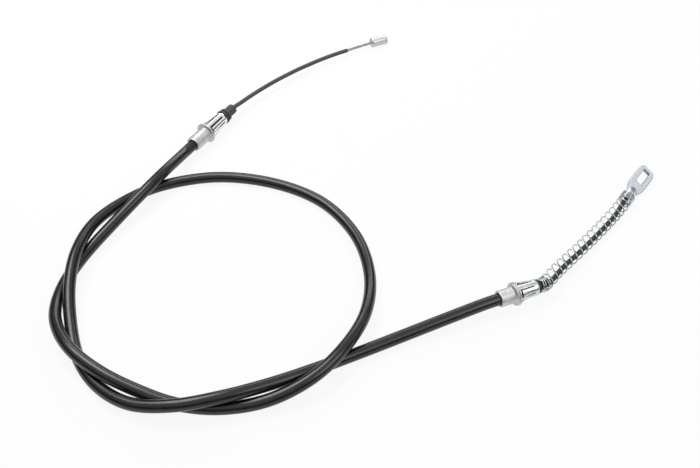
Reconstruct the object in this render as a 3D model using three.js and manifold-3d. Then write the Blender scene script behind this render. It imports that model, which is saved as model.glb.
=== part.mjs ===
// A parking brake cable, lying on a flat surface with its conduit in one loop.
// Millimetres, +Z up. The origin is on that surface, under the middle of the whole part.
import * as THREE from "three";
import { mergeVertices } from "three/addons/utils/BufferGeometryUtils.js";
import Module from "manifold-3d";

const wasm = await Module();
wasm.setup();

// Clearance between pieces that touch or slide in each other.
const GAP = 0.3;

// Inner wire: a steel strand in a plastic coat.
const STRAND_RADIUS = 1.4;
const COAT_GAP = 0.15;
const COAT_WALL = 0.55;
const COAT_RADIUS = STRAND_RADIUS + COAT_GAP + COAT_WALL;

// Conduit, from the inside out: plastic liner, spiral steel armour, plastic jacket.
const LINER_WALL = 0.3;
const ARMOUR_WALL = 0.6;
const JACKET_WALL = 1.1;
const WIRE_BORE = COAT_RADIUS + GAP;
const LINER_RADIUS = WIRE_BORE + LINER_WALL;
const ARMOUR_BORE = LINER_RADIUS + GAP;
const ARMOUR_RADIUS = ARMOUR_BORE + ARMOUR_WALL;
const JACKET_BORE = ARMOUR_RADIUS + GAP;
const JACKET_RADIUS = JACKET_BORE + JACKET_WALL;
const CONDUIT_STEPS = 68;
const TUBE_SIDES = 8;

// Where each fitting's mouth lies, and the way it points from there, in degrees from +X.
const FRONT_MOUTH = new THREE.Vector3(-170.4, 53.7, 10);
const FRONT_HEADING = 60.5;
const REAR_MOUTH = new THREE.Vector3(97.4, -139.7, 10);
const REAR_HEADING = 22.7;

// How far the conduit goes into each fitting, and how far it runs straight before it.
const CONDUIT_INSERT = 13;
const STRAIGHT_RUN = 12;

// The conduit's route between its straight ends. It passes over itself in long low humps.
const CONDUIT_ROUTE = [
  [-181, 31, 12.3], [-195, -1, 16], [-223, -46, 9.5], [-247, -92, 5.2], [-255, -126, 6.2],
  [-251, -160, 11], [-233, -191, 15.5], [-206, -213, 14.5], [-176, -227, 10], [-147, -236, 6],
  [-115, -239, 5.1], [-81, -234, 7.5], [-50, -219, 13], [-27, -195, 16], [-9, -156, 12],
  [-5, -108, 6.5], [-17, -61, 5.2], [-47, -20, 5.1], [-92, 5, 5], [-145, 13, 5.1],
  [-195, 0, 5.3], [-224, -24, 7.6], [-242, -56, 12.5], [-248, -92, 16], [-247, -125, 13.5],
  [-240, -159, 8.5], [-228, -192, 5.2], [-208, -219, 5.7], [-180, -238, 9.5], [-147, -243, 14.5],
  [-114, -237, 16], [-81, -223, 11.5], [-50, -207, 7], [-10, -187, 5],
];

// The front wire's route outside its seal, as far as the barrel end.
const FRONT_WIRE_ROUTE = [
  [-131.5, 120.2, 9.6], [-122.5, 132.2, 9.2], [-113.2, 143.7, 8.8], [-103.6, 154.7, 8.4],
  [-93.9, 165, 8], [-84, 174.8, 7.6], [-73.9, 184.1, 7.3], [-63.6, 192.8, 6.9],
  [-53.2, 201.3, 6.5], [-42.6, 209.1, 6.1], [-31.8, 216.2, 5.9], [-24.3, 220.8, 5.6],
  [-12.2, 228.1, 5.3],
];
const BARE_STRAND_LENGTH = 29.2;
const FRONT_WIRE_STEPS = 26;

// Barrel end of the front wire.
const BARREL_PLACE = new THREE.Vector3(0.9, 235.5, 5.25);
const BARREL_HEADING = 25.5;
const BARREL_RADIUS = 5.2;
const BARREL_LENGTH = 19.8;
const BARREL_NECK_RADIUS = 3.2;
const BARREL_SHOULDER = 1.4;
const BARREL_CHAMFER = 0.5;
const BARREL_GROOVE_SETBACK = 3;
const BARREL_GROOVE_WIDTH = 0.7;
const BARREL_GROOVE_DEPTH = 0.3;
const BARREL_HOLLOW_RADIUS = 2.9;
const BARREL_HOLLOW_DEPTH = 0.6;
const STRAND_GRIP = 12;

// Fittings: lengths run from the mouth outwards.
const FRONT = {
  mouth: FRONT_MOUTH,
  heading: FRONT_HEADING,
  collarRadius: 7,
  collarLength: 20,
  flangeRadius: 10,
  flangeThickness: 2.5,
  spigotRadius: 4.8,
  spigotLength: 24.3,
  lipRadius: 5.9,
  lipLength: 1,
  tongueTurn: 20,
};
const REAR = {
  mouth: REAR_MOUTH,
  heading: REAR_HEADING,
  collarRadius: 7,
  collarLength: 13,
  flangeRadius: 9.7,
  flangeThickness: 3.3,
  spigotRadius: 5.3,
  spigotLength: 17,
  lipRadius: 6.5,
  lipLength: 1,
  tongueTurn: 45,
};
const COLLAR_CHAMFER = 0.6;
const FLANGE_CHAMFER = 0.6;
const COLLAR_FILLET = 0.8;
const SEAL_SEAT_DEPTH = 6;
const SEAL_SEAT_RADIUS = 3.7;

// Prong clips: a tapered spring steel sleeve with tongues that flare towards the flange.
// The clip's wide end stands in a shallow recess, so the rim of the flange stays clear.
const CLIP_WALL = 0.8;
const CLIP_FLARE = 1.2;
const TONGUE_COUNT = 4;
const TONGUE_WIDTH = 4.6;
const TONGUE_SLOT = 1.2;
const TONGUE_LIFT = 1.1;
const TONGUE_SPACING = 360 / TONGUE_COUNT;
const TONGUE_SETBACK = 1.8;
const TONGUE_FOOT = 1;
const CLIP_BAND = 3;
const CLIP_RECESS = 0.6;

// Front seal: two rings and a sleeve on a plug.
const SEAL_RING_RADIUS = 7.1;
const SEAL_RING_LENGTH = 3;
const SEAL_STEP_RADIUS = 6.4;
const SEAL_STEP_LENGTH = 4;
const SEAL_SLEEVE_RADIUS = 4.8;
const SEAL_SLEEVE_LENGTH = 11;
const SEAL_GROOVE = 0.8;

// Rear seal: a round head that the spring stands on, a short nose inside the spring, a plug.
const SEAL_HEAD_RADIUS = 6;
const SEAL_HEAD_LENGTH = 3.3;
const SEAL_HEAD_CHAMFER = 0.5;
const NOSE_RADIUS = 3.7;
const NOSE_TIP_RADIUS = 3.2;
const NOSE_LENGTH = 8;

// Eye end: a rolled plate with a window and a crimped shank.
const EYE_PLACE = new THREE.Vector3(230.3, -13.1, 6.8);
const EYE_HEADING = 53.5;
const EYE_ROLL = 30;
const EYE_THICKNESS = 4;
const EYE_BEVEL = 0.4;
const EYE_LENGTH = 42;
const EYE_WIDTH = 16.6;
const EYE_TIP_WIDTH = 11;
const NECK_LENGTH = 3.5;
const SHOULDER_WIDTH = 13;
const WINDOW_LENGTH = 19.6;
const WINDOW_WIDTH = 7;
const WINDOW_TIP_WALL = 3.4;
const SHANK_RADIUS = 4.2;
const SHANK_LENGTH = 8;
const SHANK_TAPER = 9;
const CRIMP_SLIT_WIDTH = 0.8;
const CRIMP_SLIT_LENGTH = 6;

// Return spring between the rear fitting and the eye.
const SPRING_WIRE_RADIUS = 0.55;
const SPRING_MEAN_RADIUS = 5.9;
const SPRING_TURNS = 25;
const REAR_CLOSED_TURNS = 3;
const REAR_CLOSED_PITCH = 2.1;
const EYE_CLOSED_TURNS = 4;
const EYE_CLOSED_PITCH = 1.6;
const SPRING_STEPS_A_TURN = 9;
const SPRING_SIDES = 6;
const SPRING_STRAIGHT = 3;
const SPRING_ROUTE = [
  [150.7, -106, 8.8], [171.4, -83.9, 8], [196.7, -55.8, 7.4], [217, -31.5, 7],
];

// The rear wire lies low and to the right inside the spring.
const REAR_WIRE_ASIDE = 1;
const REAR_WIRE_DROP = 2;
const REAR_WIRE_STEPS = 26;

// Facets round the turned pieces.
const TURNED_SEGMENTS = 24;

const UP = new THREE.Vector3(0, 0, 1);
const radians = THREE.MathUtils.degToRad;

// A mesh geometry as a closed solid, and a solid back as a geometry.
function toSolid(geometry) {
  const bare = geometry.index ? geometry.toNonIndexed() : geometry.clone();
  const plain = new THREE.BufferGeometry();
  plain.setAttribute("position", bare.getAttribute("position"));
  const merged = mergeVertices(plain, 1e-4);
  return new wasm.Manifold(
    new wasm.Mesh({
      numProp: 3,
      vertProperties: merged.attributes.position.array,
      triVerts: new Uint32Array(merged.index.array),
    }),
  );
}

function toGeometry(solid) {
  const mesh = solid.getMesh();
  const geometry = new THREE.BufferGeometry();
  geometry.setAttribute("position", new THREE.BufferAttribute(mesh.vertProperties, 3));
  geometry.setIndex(new THREE.BufferAttribute(mesh.triVerts, 1));
  geometry.computeVertexNormals();
  return geometry;
}

// A solid of revolution about +X. The outline is [radius, station] pairs, and closes on itself.
function turned(outline, segments = TURNED_SEGMENTS) {
  const points = outline.map(([radius, station]) => new THREE.Vector2(radius, station));
  points.push(points[0].clone());
  const geometry = new THREE.LatheGeometry(points, segments);
  return geometry.rotateZ(-Math.PI / 2);
}

// A regular polygon as a path. A bore's flats lie at its radius, so a round inside it is clear.
function polygon(radius, sides, PathClass = THREE.Path) {
  const path = new PathClass();
  const points = [];
  for (let i = 0; i < sides; i += 1) {
    const angle = (2 * Math.PI * i) / sides;
    points.push(new THREE.Vector2(radius * Math.cos(angle), radius * Math.sin(angle)));
  }
  return path.setFromPoints(points);
}

function tubeAlong(curve, steps, radius, bore = 0, sides = TUBE_SIDES) {
  const section = polygon(radius, sides, THREE.Shape);
  if (bore > 0) {
    section.holes.push(polygon(bore / Math.cos(Math.PI / sides), sides));
  }
  return new THREE.ExtrudeGeometry(section, { steps, bevelEnabled: false, extrudePath: curve });
}

function smoothCurve(points) {
  const curve = new THREE.CatmullRomCurve3(points, false, "centripetal");
  curve.arcLengthDivisions = 40 * points.length;
  return curve;
}

const toVector = ([x, y, z]) => new THREE.Vector3(x, y, z);

function headingVector(degrees) {
  return new THREE.Vector3(Math.cos(radians(degrees)), Math.sin(radians(degrees)), 0);
}

// The point on a fitting's axis at a distance outwards from its mouth.
function onAxis(fitting, station) {
  return headingVector(fitting.heading).multiplyScalar(station).add(fitting.mouth);
}

function metal(colour, roughness) {
  return new THREE.MeshStandardMaterial({ color: colour, roughness, metalness: 1 });
}

function plastic(colour, roughness) {
  return new THREE.MeshStandardMaterial({ color: colour, roughness, metalness: 0 });
}

function piece(name, geometry, material) {
  const mesh = new THREE.Mesh(geometry, material);
  mesh.name = name;
  return mesh;
}

// Stations of a fitting that several of its pieces share.
function stations(fitting) {
  const flangeFace = fitting.collarLength + fitting.flangeThickness;
  const clipSeat = flangeFace - CLIP_RECESS;
  const lipStart = flangeFace + fitting.spigotLength;
  return { flangeFace, clipSeat, lipStart, end: lipStart + fitting.lipLength };
}

// Outer radii of a fitting's clip, at its narrow end and at its wide end.
function clipRadii(fitting) {
  const narrow = fitting.spigotRadius + GAP + CLIP_WALL;
  return { narrow, wide: narrow + CLIP_FLARE };
}

// Ferrule: collar crimped on the conduit, flange, and the spigot that carries clip and seal.
function ferrule(fitting) {
  const { flangeFace, clipSeat, lipStart, end } = stations(fitting);
  const bore = JACKET_RADIUS + GAP;
  const rimBore = clipRadii(fitting).wide + TONGUE_LIFT + GAP;
  return turned([
    [bore, 0],
    [fitting.collarRadius - COLLAR_CHAMFER, 0],
    [fitting.collarRadius, COLLAR_CHAMFER],
    [fitting.collarRadius, fitting.collarLength - COLLAR_FILLET],
    [fitting.collarRadius + COLLAR_FILLET, fitting.collarLength],
    [fitting.flangeRadius - FLANGE_CHAMFER, fitting.collarLength],
    [fitting.flangeRadius, fitting.collarLength + FLANGE_CHAMFER],
    [fitting.flangeRadius, flangeFace],
    [rimBore, flangeFace],
    [rimBore, clipSeat],
    [fitting.spigotRadius, clipSeat],
    [fitting.spigotRadius, lipStart],
    [fitting.lipRadius, lipStart],
    [fitting.lipRadius, end],
    [SEAL_SEAT_RADIUS, end],
    [SEAL_SEAT_RADIUS, end - SEAL_SEAT_DEPTH],
    [WIRE_BORE, end - SEAL_SEAT_DEPTH],
    [WIRE_BORE, CONDUIT_INSERT + GAP],
    [bore, CONDUIT_INSERT + GAP],
  ]);
}

// A tapered sleeve between two stations, thick enough for one sheet of steel.
function sleeve(startRadius, start, endRadius, end) {
  return turned([
    [startRadius - CLIP_WALL, start],
    [startRadius, start],
    [endRadius, end],
    [endRadius - CLIP_WALL, end],
  ]);
}

function radialBox(start, end, width, reach, degrees) {
  const box = new THREE.BoxGeometry(end - start, width, reach);
  box.translate((start + end) / 2, 0, reach / 2);
  return box.rotateX(radians(degrees));
}

function prongClip(fitting) {
  const { clipSeat, lipStart } = stations(fitting);
  const { narrow, wide } = clipRadii(fitting);
  const start = clipSeat + GAP;
  const end = lipStart - GAP;
  const tip = start + TONGUE_SETBACK;
  const root = end - CLIP_BAND;
  const radiusAt = (station) => {
    const share = (station - start) / (end - start);
    return wide + (narrow - wide) * share;
  };
  const footStart = root - TONGUE_FOOT / 2;
  const footEnd = root + TONGUE_FOOT / 2;
  const reach = 2 * wide;
  const slotWidth = TONGUE_WIDTH + 2 * TONGUE_SLOT;
  const lifted = toSolid(sleeve(radiusAt(tip) + TONGUE_LIFT, tip, radiusAt(root), root));
  const footRing = toSolid(sleeve(radiusAt(footStart), footStart, radiusAt(footEnd), footEnd));
  let clip = toSolid(sleeve(wide, start, narrow, end));
  for (let i = 0; i < TONGUE_COUNT; i += 1) {
    const turn = fitting.tongueTurn + TONGUE_SPACING * i;
    const opening = toSolid(radialBox(tip - TONGUE_SLOT, root, slotWidth, reach, turn));
    const strip = toSolid(radialBox(tip, root, TONGUE_WIDTH, reach, turn));
    const foot = toSolid(radialBox(footStart, footEnd, TONGUE_WIDTH, reach, turn));
    clip = clip.subtract(opening).add(lifted.intersect(strip)).add(footRing.intersect(foot));
  }
  return toGeometry(clip);
}

// Plug that seats in a fitting's seal seat, shared by both seals.
function plugOutline(end) {
  return [
    [WIRE_BORE, end - SEAL_SEAT_DEPTH + GAP],
    [SEAL_SEAT_RADIUS - GAP, end - SEAL_SEAT_DEPTH + GAP],
    [SEAL_SEAT_RADIUS - GAP, end + GAP],
  ];
}

function frontSealMouth() {
  const { end } = stations(FRONT);
  return end + GAP + SEAL_RING_LENGTH + SEAL_STEP_LENGTH + SEAL_SLEEVE_LENGTH;
}

function frontSeal() {
  const start = stations(FRONT).end + GAP;
  const step = start + SEAL_RING_LENGTH;
  const groove = step + SEAL_STEP_LENGTH;
  const mouth = frontSealMouth();
  return turned([
    ...plugOutline(stations(FRONT).end),
    [SEAL_RING_RADIUS, start],
    [SEAL_RING_RADIUS, step - SEAL_GROOVE / 2],
    [SEAL_STEP_RADIUS, step],
    [SEAL_STEP_RADIUS, groove],
    [SEAL_SLEEVE_RADIUS - SEAL_GROOVE / 2, groove + SEAL_GROOVE / 2],
    [SEAL_SLEEVE_RADIUS - SEAL_GROOVE / 2, groove + SEAL_GROOVE],
    [SEAL_SLEEVE_RADIUS, groove + 1.5 * SEAL_GROOVE],
    [SEAL_SLEEVE_RADIUS, mouth - SEAL_GROOVE],
    [SEAL_SLEEVE_RADIUS - SEAL_GROOVE, mouth],
    [WIRE_BORE, mouth],
  ]);
}

function rearSealStations() {
  const start = stations(REAR).end + GAP;
  const headEnd = start + SEAL_HEAD_LENGTH;
  return { start, headEnd, mouth: headEnd + NOSE_LENGTH };
}

function rearSeal() {
  const { start, headEnd, mouth } = rearSealStations();
  return turned([
    ...plugOutline(stations(REAR).end),
    [SEAL_HEAD_RADIUS, start],
    [SEAL_HEAD_RADIUS, headEnd - SEAL_HEAD_CHAMFER],
    [SEAL_HEAD_RADIUS - SEAL_HEAD_CHAMFER, headEnd],
    [NOSE_RADIUS, headEnd],
    [NOSE_TIP_RADIUS, mouth],
    [WIRE_BORE, mouth],
  ]);
}

// Turned and formed pieces of one fitting, set on its axis.
function fittingGroup(fitting, pieces) {
  const group = new THREE.Group();
  group.position.copy(fitting.mouth);
  group.rotation.z = radians(fitting.heading);
  group.add(...pieces);
  return group;
}

function conduitPieces() {
  const curve = smoothCurve([
    onAxis(FRONT, CONDUIT_INSERT),
    onAxis(FRONT, 0),
    onAxis(FRONT, -STRAIGHT_RUN),
    ...CONDUIT_ROUTE.map(toVector),
    onAxis(REAR, -STRAIGHT_RUN),
    onAxis(REAR, 0),
    onAxis(REAR, CONDUIT_INSERT),
  ]);
  const tube = (radius, bore) => tubeAlong(curve, CONDUIT_STEPS, radius, bore);
  return [
    piece("conduit_jacket", tube(JACKET_RADIUS, JACKET_BORE), plastic(0x0c0d0f, 0.25)),
    piece("conduit_armour", tube(ARMOUR_RADIUS, ARMOUR_BORE), metal(0x9a9ea2, 0.5)),
    piece("conduit_liner", tube(LINER_RADIUS, WIRE_BORE), plastic(0xd8d8d2, 0.5)),
    piece("inner_wire", tube(COAT_RADIUS, 0), plastic(0x2a2b2d, 0.6)),
  ];
}

// The front wire slides: its straight tail stays in the fitting's bore at full travel.
function frontWirePieces() {
  const mouth = frontSealMouth();
  const tail = CONDUIT_INSERT + 2 * GAP;
  const lead = [
    onAxis(FRONT, tail),
    onAxis(FRONT, (tail + mouth) / 2),
    onAxis(FRONT, mouth - 6),
    onAxis(FRONT, mouth + 2),
    ...FRONT_WIRE_ROUTE.map(toVector),
    BARREL_PLACE.clone(),
  ];
  const whole = smoothCurve(lead);
  const coatShare = 1 - BARE_STRAND_LENGTH / whole.getLength();
  const coatPoints = [];
  const strandPoints = [];
  for (let i = 0; i <= FRONT_WIRE_STEPS; i += 1) {
    coatPoints.push(whole.getPointAt((coatShare * i) / FRONT_WIRE_STEPS));
  }
  strandPoints.push(...coatPoints);
  for (let i = 1; i <= 4; i += 1) {
    strandPoints.push(whole.getPointAt(coatShare + ((1 - coatShare) * i) / 4));
  }
  strandPoints.push(headingVector(BARREL_HEADING).multiplyScalar(STRAND_GRIP).add(BARREL_PLACE));
  const coatBore = STRAND_RADIUS + COAT_GAP;
  const coat = tubeAlong(new SharedRings(coatPoints), FRONT_WIRE_STEPS, COAT_RADIUS, coatBore);
  const strand = tubeAlong(new SharedRings(strandPoints), strandPoints.length - 1, STRAND_RADIUS);
  return [
    piece("front_wire_coat", coat, plastic(0x4d4e50, 0.7)),
    piece("front_wire_strand", strand, metal(0xb4b8bc, 0.4)),
  ];
}

// A curve through points at equal shares of its parameter, so two tubes share their rings.
class SharedRings extends THREE.Curve {
  constructor(points) {
    super();
    this.points = points;
  }

  getPoint(t, target = new THREE.Vector3()) {
    const at = t * (this.points.length - 1);
    const i = Math.min(Math.floor(at), this.points.length - 2);
    return target.lerpVectors(this.points[i], this.points[i + 1], at - i);
  }

  getPointAt(u, target) {
    return this.getPoint(u, target);
  }

  getTangent(t, target = new THREE.Vector3()) {
    const last = this.points.length - 1;
    const i = Math.round(t * last);
    const before = this.points[Math.max(i - 1, 0)];
    const after = this.points[Math.min(i + 1, last)];
    return target.subVectors(after, before).normalize();
  }

  getTangentAt(u, target) {
    return this.getTangent(u, target);
  }
}

function barrelPiece() {
  const bore = STRAND_RADIUS + GAP;
  const depth = STRAND_GRIP + GAP;
  const groove = BARREL_LENGTH - BARREL_GROOVE_SETBACK;
  const grooveEnd = groove + BARREL_GROOVE_WIDTH;
  const hollow = BARREL_LENGTH - BARREL_HOLLOW_DEPTH;
  const barrel = turned([
    [bore, 0],
    [BARREL_NECK_RADIUS, 0],
    [BARREL_NECK_RADIUS, BARREL_SHOULDER],
    [BARREL_RADIUS - BARREL_CHAMFER, BARREL_SHOULDER],
    [BARREL_RADIUS, BARREL_SHOULDER + BARREL_CHAMFER],
    [BARREL_RADIUS, groove],
    [BARREL_RADIUS - BARREL_GROOVE_DEPTH, groove],
    [BARREL_RADIUS - BARREL_GROOVE_DEPTH, grooveEnd],
    [BARREL_RADIUS, grooveEnd],
    [BARREL_RADIUS, BARREL_LENGTH - BARREL_CHAMFER],
    [BARREL_RADIUS - BARREL_CHAMFER, BARREL_LENGTH],
    [BARREL_HOLLOW_RADIUS, BARREL_LENGTH],
    [BARREL_HOLLOW_RADIUS, hollow],
    [0, hollow],
    [0, depth],
    [bore, depth],
  ]);
  const mesh = piece("barrel_end", barrel, metal(0xb9bcbd, 0.45));
  mesh.position.copy(BARREL_PLACE);
  mesh.rotation.z = radians(BARREL_HEADING);
  return mesh;
}

const EYE = { mouth: EYE_PLACE, heading: EYE_HEADING };

function eyeOutline() {
  const half = EYE_WIDTH / 2;
  const outline = new THREE.Shape();
  outline.moveTo(0, SHOULDER_WIDTH / 2);
  outline.lineTo(0, -SHOULDER_WIDTH / 2);
  outline.quadraticCurveTo(NECK_LENGTH * 2, -SHOULDER_WIDTH / 2, NECK_LENGTH * 4, -half);
  outline.lineTo(EYE_LENGTH - (half - EYE_TIP_WIDTH / 2) * 1.6, -half);
  outline.lineTo(EYE_LENGTH, -EYE_TIP_WIDTH / 2);
  outline.lineTo(EYE_LENGTH, EYE_TIP_WIDTH / 2);
  outline.lineTo(EYE_LENGTH - (half - EYE_TIP_WIDTH / 2) * 1.6, half);
  outline.lineTo(NECK_LENGTH * 4, half);
  outline.quadraticCurveTo(NECK_LENGTH * 2, SHOULDER_WIDTH / 2, 0, SHOULDER_WIDTH / 2);
  return outline;
}

function eyeWindow() {
  const end = EYE_LENGTH - WINDOW_TIP_WALL;
  const start = end - WINDOW_LENGTH;
  const half = WINDOW_WIDTH / 2;
  const corner = 1;
  const hole = new THREE.Path();
  hole.moveTo(start + corner, -half);
  hole.lineTo(end - corner, -half);
  hole.absarc(end - corner, -half + corner, corner, -Math.PI / 2, 0);
  hole.absarc(end - corner, half - corner, corner, 0, Math.PI / 2);
  hole.absarc(start + corner, half - corner, corner, Math.PI / 2, Math.PI);
  hole.absarc(start + corner, -half + corner, corner, Math.PI, 1.5 * Math.PI);
  return hole;
}

function eyePiece() {
  const outline = eyeOutline();
  outline.holes.push(eyeWindow());
  const plate = new THREE.ExtrudeGeometry(outline, {
    depth: EYE_THICKNESS - 2 * EYE_BEVEL,
    curveSegments: 4,
    bevelSize: EYE_BEVEL,
    bevelOffset: -EYE_BEVEL,
    bevelThickness: EYE_BEVEL,
    bevelSegments: 1,
  });
  plate.translate(0, 0, -EYE_THICKNESS / 2 + EYE_BEVEL);
  const shank = turned([
    [0, -SHANK_LENGTH],
    [SHANK_RADIUS, -SHANK_LENGTH],
    [SHANK_RADIUS, NECK_LENGTH],
    [EYE_THICKNESS / 2 - EYE_BEVEL, SHANK_TAPER],
    [0, SHANK_TAPER],
  ]);
  const boreRadius = STRAND_RADIUS + GAP;
  const bore = new THREE.CylinderGeometry(boreRadius, boreRadius, SHANK_LENGTH * 2, TUBE_SIDES * 2);
  bore.rotateZ(Math.PI / 2);
  bore.translate(-SHANK_LENGTH, 0, 0);
  const slit = new THREE.BoxGeometry(CRIMP_SLIT_LENGTH, CRIMP_SLIT_WIDTH, SHANK_RADIUS);
  slit.translate(NECK_LENGTH, 0, SHANK_RADIUS);
  const eye = toSolid(plate).add(toSolid(shank)).subtract(toSolid(bore)).subtract(toSolid(slit));
  const mesh = piece("eye_end", toGeometry(eye), metal(0xc3ccd2, 0.35));
  const rolled = new THREE.Group();
  rolled.rotation.x = radians(EYE_ROLL);
  rolled.add(mesh);
  const group = new THREE.Group();
  group.position.copy(EYE_PLACE);
  group.rotation.z = radians(EYE_HEADING);
  group.add(rolled);
  return group;
}

// The line down the middle of the spring, from its first turn to its last.
function springAxis() {
  const seat = GAP + SPRING_WIRE_RADIUS;
  const { headEnd } = rearSealStations();
  return smoothCurve([
    onAxis(REAR, headEnd + seat),
    onAxis(REAR, headEnd + seat + SPRING_STRAIGHT),
    ...SPRING_ROUTE.map(toVector),
    onAxis(EYE, -seat - SPRING_STRAIGHT),
    onAxis(EYE, -seat),
  ]);
}

// A direction to the right of a curve, and one upwards, both square to it.
function squareTo(tangent) {
  const right = new THREE.Vector3().crossVectors(tangent, UP).normalize();
  const above = new THREE.Vector3().crossVectors(right, tangent).normalize();
  return { right, above };
}

// A compression spring's centreline, with closed turns at both ends.
class SpringCurve extends THREE.Curve {
  constructor(axis) {
    super();
    this.axis = axis;
    this.length = axis.getLength();
    this.arcLengthDivisions = SPRING_TURNS * SPRING_STEPS_A_TURN * 3;
  }

  distanceAt(turn) {
    const openTurns = SPRING_TURNS - REAR_CLOSED_TURNS - EYE_CLOSED_TURNS;
    const rearEnd = REAR_CLOSED_TURNS * REAR_CLOSED_PITCH;
    const eyeEnd = EYE_CLOSED_TURNS * EYE_CLOSED_PITCH;
    const openPitch = (this.length - rearEnd - eyeEnd) / openTurns;
    if (turn < REAR_CLOSED_TURNS) {
      return turn * REAR_CLOSED_PITCH;
    }
    if (turn < REAR_CLOSED_TURNS + openTurns) {
      return rearEnd + (turn - REAR_CLOSED_TURNS) * openPitch;
    }
    return this.length - (SPRING_TURNS - turn) * EYE_CLOSED_PITCH;
  }

  getPoint(t, target = new THREE.Vector3()) {
    const turn = t * SPRING_TURNS;
    const share = this.distanceAt(turn) / this.length;
    const { right, above } = squareTo(this.axis.getTangentAt(share));
    const angle = 2 * Math.PI * turn;
    return target
      .copy(this.axis.getPointAt(share))
      .addScaledVector(right, SPRING_MEAN_RADIUS * Math.cos(angle))
      .addScaledVector(above, SPRING_MEAN_RADIUS * Math.sin(angle));
  }
}

function springPiece() {
  const coil = new SpringCurve(springAxis());
  const steps = SPRING_TURNS * SPRING_STEPS_A_TURN;
  const geometry = tubeAlong(coil, steps, SPRING_WIRE_RADIUS, 0, SPRING_SIDES);
  return piece("return_spring", geometry, metal(0xc8ced3, 0.25));
}

function rearWirePieces() {
  const axis = springAxis();
  const aside = (share, amount) => {
    const { right } = squareTo(axis.getTangentAt(share));
    return axis
      .getPointAt(share)
      .addScaledVector(right, REAR_WIRE_ASIDE * amount)
      .addScaledVector(UP, -REAR_WIRE_DROP * amount);
  };
  const { mouth } = rearSealStations();
  const curve = smoothCurve([
    onAxis(REAR, CONDUIT_INSERT + 2 * GAP),
    onAxis(REAR, (CONDUIT_INSERT + mouth) / 2),
    onAxis(REAR, mouth - 4),
    onAxis(REAR, mouth + 1),
    aside(0.22, 1),
    aside(0.4, 1),
    aside(0.6, 1),
    aside(0.8, 0.8),
    onAxis(EYE, -SHANK_LENGTH - 3),
    onAxis(EYE, -SHANK_LENGTH - GAP),
  ]);
  const points = [];
  for (let i = 0; i <= REAR_WIRE_STEPS; i += 1) {
    points.push(curve.getPointAt(i / REAR_WIRE_STEPS));
  }
  const coatBore = STRAND_RADIUS + COAT_GAP;
  const coat = tubeAlong(new SharedRings(points), REAR_WIRE_STEPS, COAT_RADIUS, coatBore);
  const inShank = onAxis(EYE, -GAP);
  const strandPoints = [...points, inShank];
  const strand = tubeAlong(new SharedRings(strandPoints), strandPoints.length - 1, STRAND_RADIUS);
  return [
    piece("rear_wire_coat", coat, plastic(0x2c2f31, 0.6)),
    piece("rear_wire_strand", strand, metal(0xb4b8bc, 0.4)),
  ];
}

function parkingBrakeCable() {
  const group = new THREE.Group();
  group.add(...conduitPieces());
  group.add(fittingGroup(FRONT, [
    piece("front_ferrule", ferrule(FRONT), metal(0xb7bab9, 0.5)),
    piece("front_prong_clip", prongClip(FRONT), metal(0xe4e6e8, 0.12)),
    piece("front_seal", frontSeal(), plastic(0x505050, 0.85)),
  ]));
  group.add(...frontWirePieces(), barrelPiece());
  group.add(fittingGroup(REAR, [
    piece("rear_ferrule", ferrule(REAR), metal(0xb7bab9, 0.5)),
    piece("rear_prong_clip", prongClip(REAR), metal(0xc6cbc8, 0.3)),
    piece("rear_seal", rearSeal(), plastic(0x303234, 0.85)),
  ]));
  group.add(...rearWirePieces(), springPiece(), eyePiece());
  return group;
}

export default parkingBrakeCable();
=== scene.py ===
"""A parking brake cable on a white floor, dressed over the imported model. Metres, +Z up."""
import math

import bmesh
import bpy
import numpy as np
from mathutils import Matrix, Vector


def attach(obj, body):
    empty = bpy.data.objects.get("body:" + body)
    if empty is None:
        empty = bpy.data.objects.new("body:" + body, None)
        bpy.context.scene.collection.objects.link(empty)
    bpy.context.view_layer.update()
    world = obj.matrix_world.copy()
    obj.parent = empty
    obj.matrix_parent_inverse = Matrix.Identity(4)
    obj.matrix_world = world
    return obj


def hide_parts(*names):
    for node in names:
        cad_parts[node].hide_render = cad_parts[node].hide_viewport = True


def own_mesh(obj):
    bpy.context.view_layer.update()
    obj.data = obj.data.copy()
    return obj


MM = 0.001
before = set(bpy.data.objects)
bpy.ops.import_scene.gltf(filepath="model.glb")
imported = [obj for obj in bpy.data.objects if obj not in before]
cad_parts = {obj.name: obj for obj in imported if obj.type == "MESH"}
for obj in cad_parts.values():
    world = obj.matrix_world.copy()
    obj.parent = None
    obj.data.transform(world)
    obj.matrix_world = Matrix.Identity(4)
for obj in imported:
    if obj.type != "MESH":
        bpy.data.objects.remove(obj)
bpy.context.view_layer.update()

# Camera: 45 degrees above the floor, looking along +Y.
PICTURE_WIDTH = 700
FOCAL_PIXELS = 887
SENSOR = 36
CAMERA_AIM = Vector((-0.021, -0.056, 0))
CAMERA_DISTANCE = 0.7733
CAMERA_ELEVATION = math.radians(45)

# Fittings: where each mouth lies and the way it points, in degrees from +X. The conduit reaches
# CONDUIT_INSERT millimetres into each and runs straight for STRAIGHT_RUN out of it.
FRONT_MOUTH = Vector((-0.1704, 0.0537, 0.010))
FRONT_HEADING = 60.5
REAR_MOUTH = Vector((0.0974, -0.1397, 0.010))
REAR_HEADING = 22.7
CONDUIT_INSERT = 13
STRAIGHT_RUN = 12

# Stations along each fitting, in millimetres from its mouth.
FRONT_SEAL_MOUTH = 66.1
REAR_HEAD_END = 37.9
REAR_SEAL_MOUTH = 45.9

# Radii, in millimetres. The coat's bore leaves the strand a little room.
JACKET_RADIUS = 5
JACKET_BORE = 3.9
COAT_RADIUS = 2.1
STRAND_RADIUS = 1.4
COAT_BORE = STRAND_RADIUS + 0.15
FRONT_SPIGOT_RADIUS = 4.8
REAR_SPIGOT_RADIUS = 5.3

# Steps between the points of a path, in metres.
PATH_STEP = 0.001
CONDUIT_STEP = 0.002
FINE_STEP = 0.0005

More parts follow.
